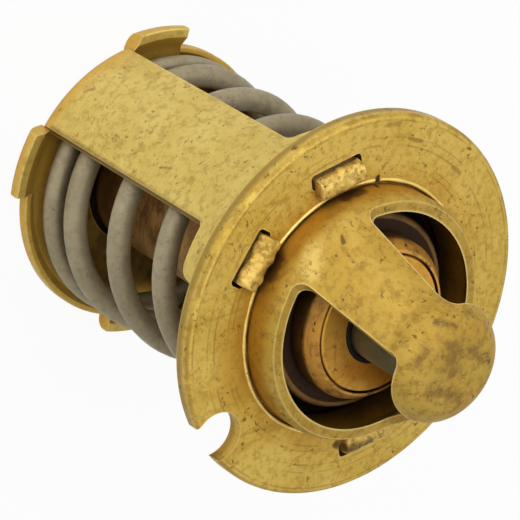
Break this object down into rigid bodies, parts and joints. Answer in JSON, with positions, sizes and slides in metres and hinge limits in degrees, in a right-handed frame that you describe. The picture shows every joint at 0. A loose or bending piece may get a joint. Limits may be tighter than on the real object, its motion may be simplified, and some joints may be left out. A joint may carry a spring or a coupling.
{
  "type": "engine thermostat",
  "caption": "Wax capsule engine thermostat: round brass flange, drawn bridge with a nose, open strap cage, and a coil spring that closes the sliding valve plate around the capsule.",
  "frame": {"origin": "On the axis of the round flange, in its rear face, which is the face that seats in the housing.", "axes": "+Z runs along the axis from the cage to the nose of the bridge. The two straps of the cage and the two legs of the bridge lie along X. The notch in the rim of the flange lies along +Y."},
  "size_m": [0.035, 0.0349, 0.045],
  "materials": {
    "brass": "pressed sheet, lightly tarnished",
    "stained_brass": "pressed sheet, stained brown",
    "copper_alloy": "drawn cup, brown streaks",
    "spring_steel": "drawn round wire",
    "rod_steel": "ground",
    "rubber": "moulded",
    "washer_plastic": "plain",
    "wax": "wax"
  },
  "bodies": {
    "housing": {"flange_plate": "brass", "bridge": "brass", "cage": "brass", "spring": "spring_steel", "rod": "rod_steel"},
    "valve": {"valve_plate": "stained_brass", "capsule_cup": "copper_alloy", "element_head": "copper_alloy", "rod_wiper": "rubber", "rubber_boot": "rubber", "chafe_washer": "washer_plastic", "wax_charge": "wax"}
  },
  "joints": [
    {"name": "valve_slide", "type": "slide", "parent": "housing", "child": "valve", "axis": [0, 0, -1], "range_m": [0, 0.007], "stiffness_N_per_m": 3500, "springref_m": -0.008, "deforming": ["spring"]}
  ]
}
